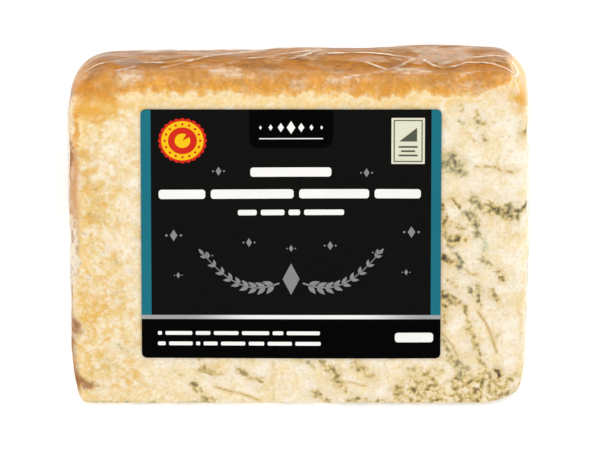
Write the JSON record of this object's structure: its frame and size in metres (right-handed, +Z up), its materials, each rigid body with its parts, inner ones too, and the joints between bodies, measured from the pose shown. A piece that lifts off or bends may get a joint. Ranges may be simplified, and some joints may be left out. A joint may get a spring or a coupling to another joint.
{
  "type": "blue cheese wedge in clear film",
  "caption": "Lying wedge of blue-veined cheese with a rounded rind, sealed in tight clear film, with a plain printed label on its upper cut face.",
  "frame": {"origin": "centre of the bounding box's underside, on the lower cut face that the wedge lies on", "axes": "+X along the wheel's axis from the rinded end to the cut end, +Y from the thin tip to the curved rind, +Z up"},
  "size_m": [0.1262, 0.0976, 0.0633],
  "materials": {
    "wrapped_cheese": "creamy blue-veined cheese, golden to brown at the rind, under tight glossy clear film",
    "cheese": "moist crumbly cheese paste with blue-green veins, golden under a brown rind",
    "clear_film": "thin clear glossy food film, pulled tight, with fine creases",
    "label": "satin coated label, printed near black with teal side bands and pale bars"
  },
  "bodies": {
    "root": {"wrapped_wedge": "wrapped_cheese", "label": "label"}
  },
  "joints": []
}
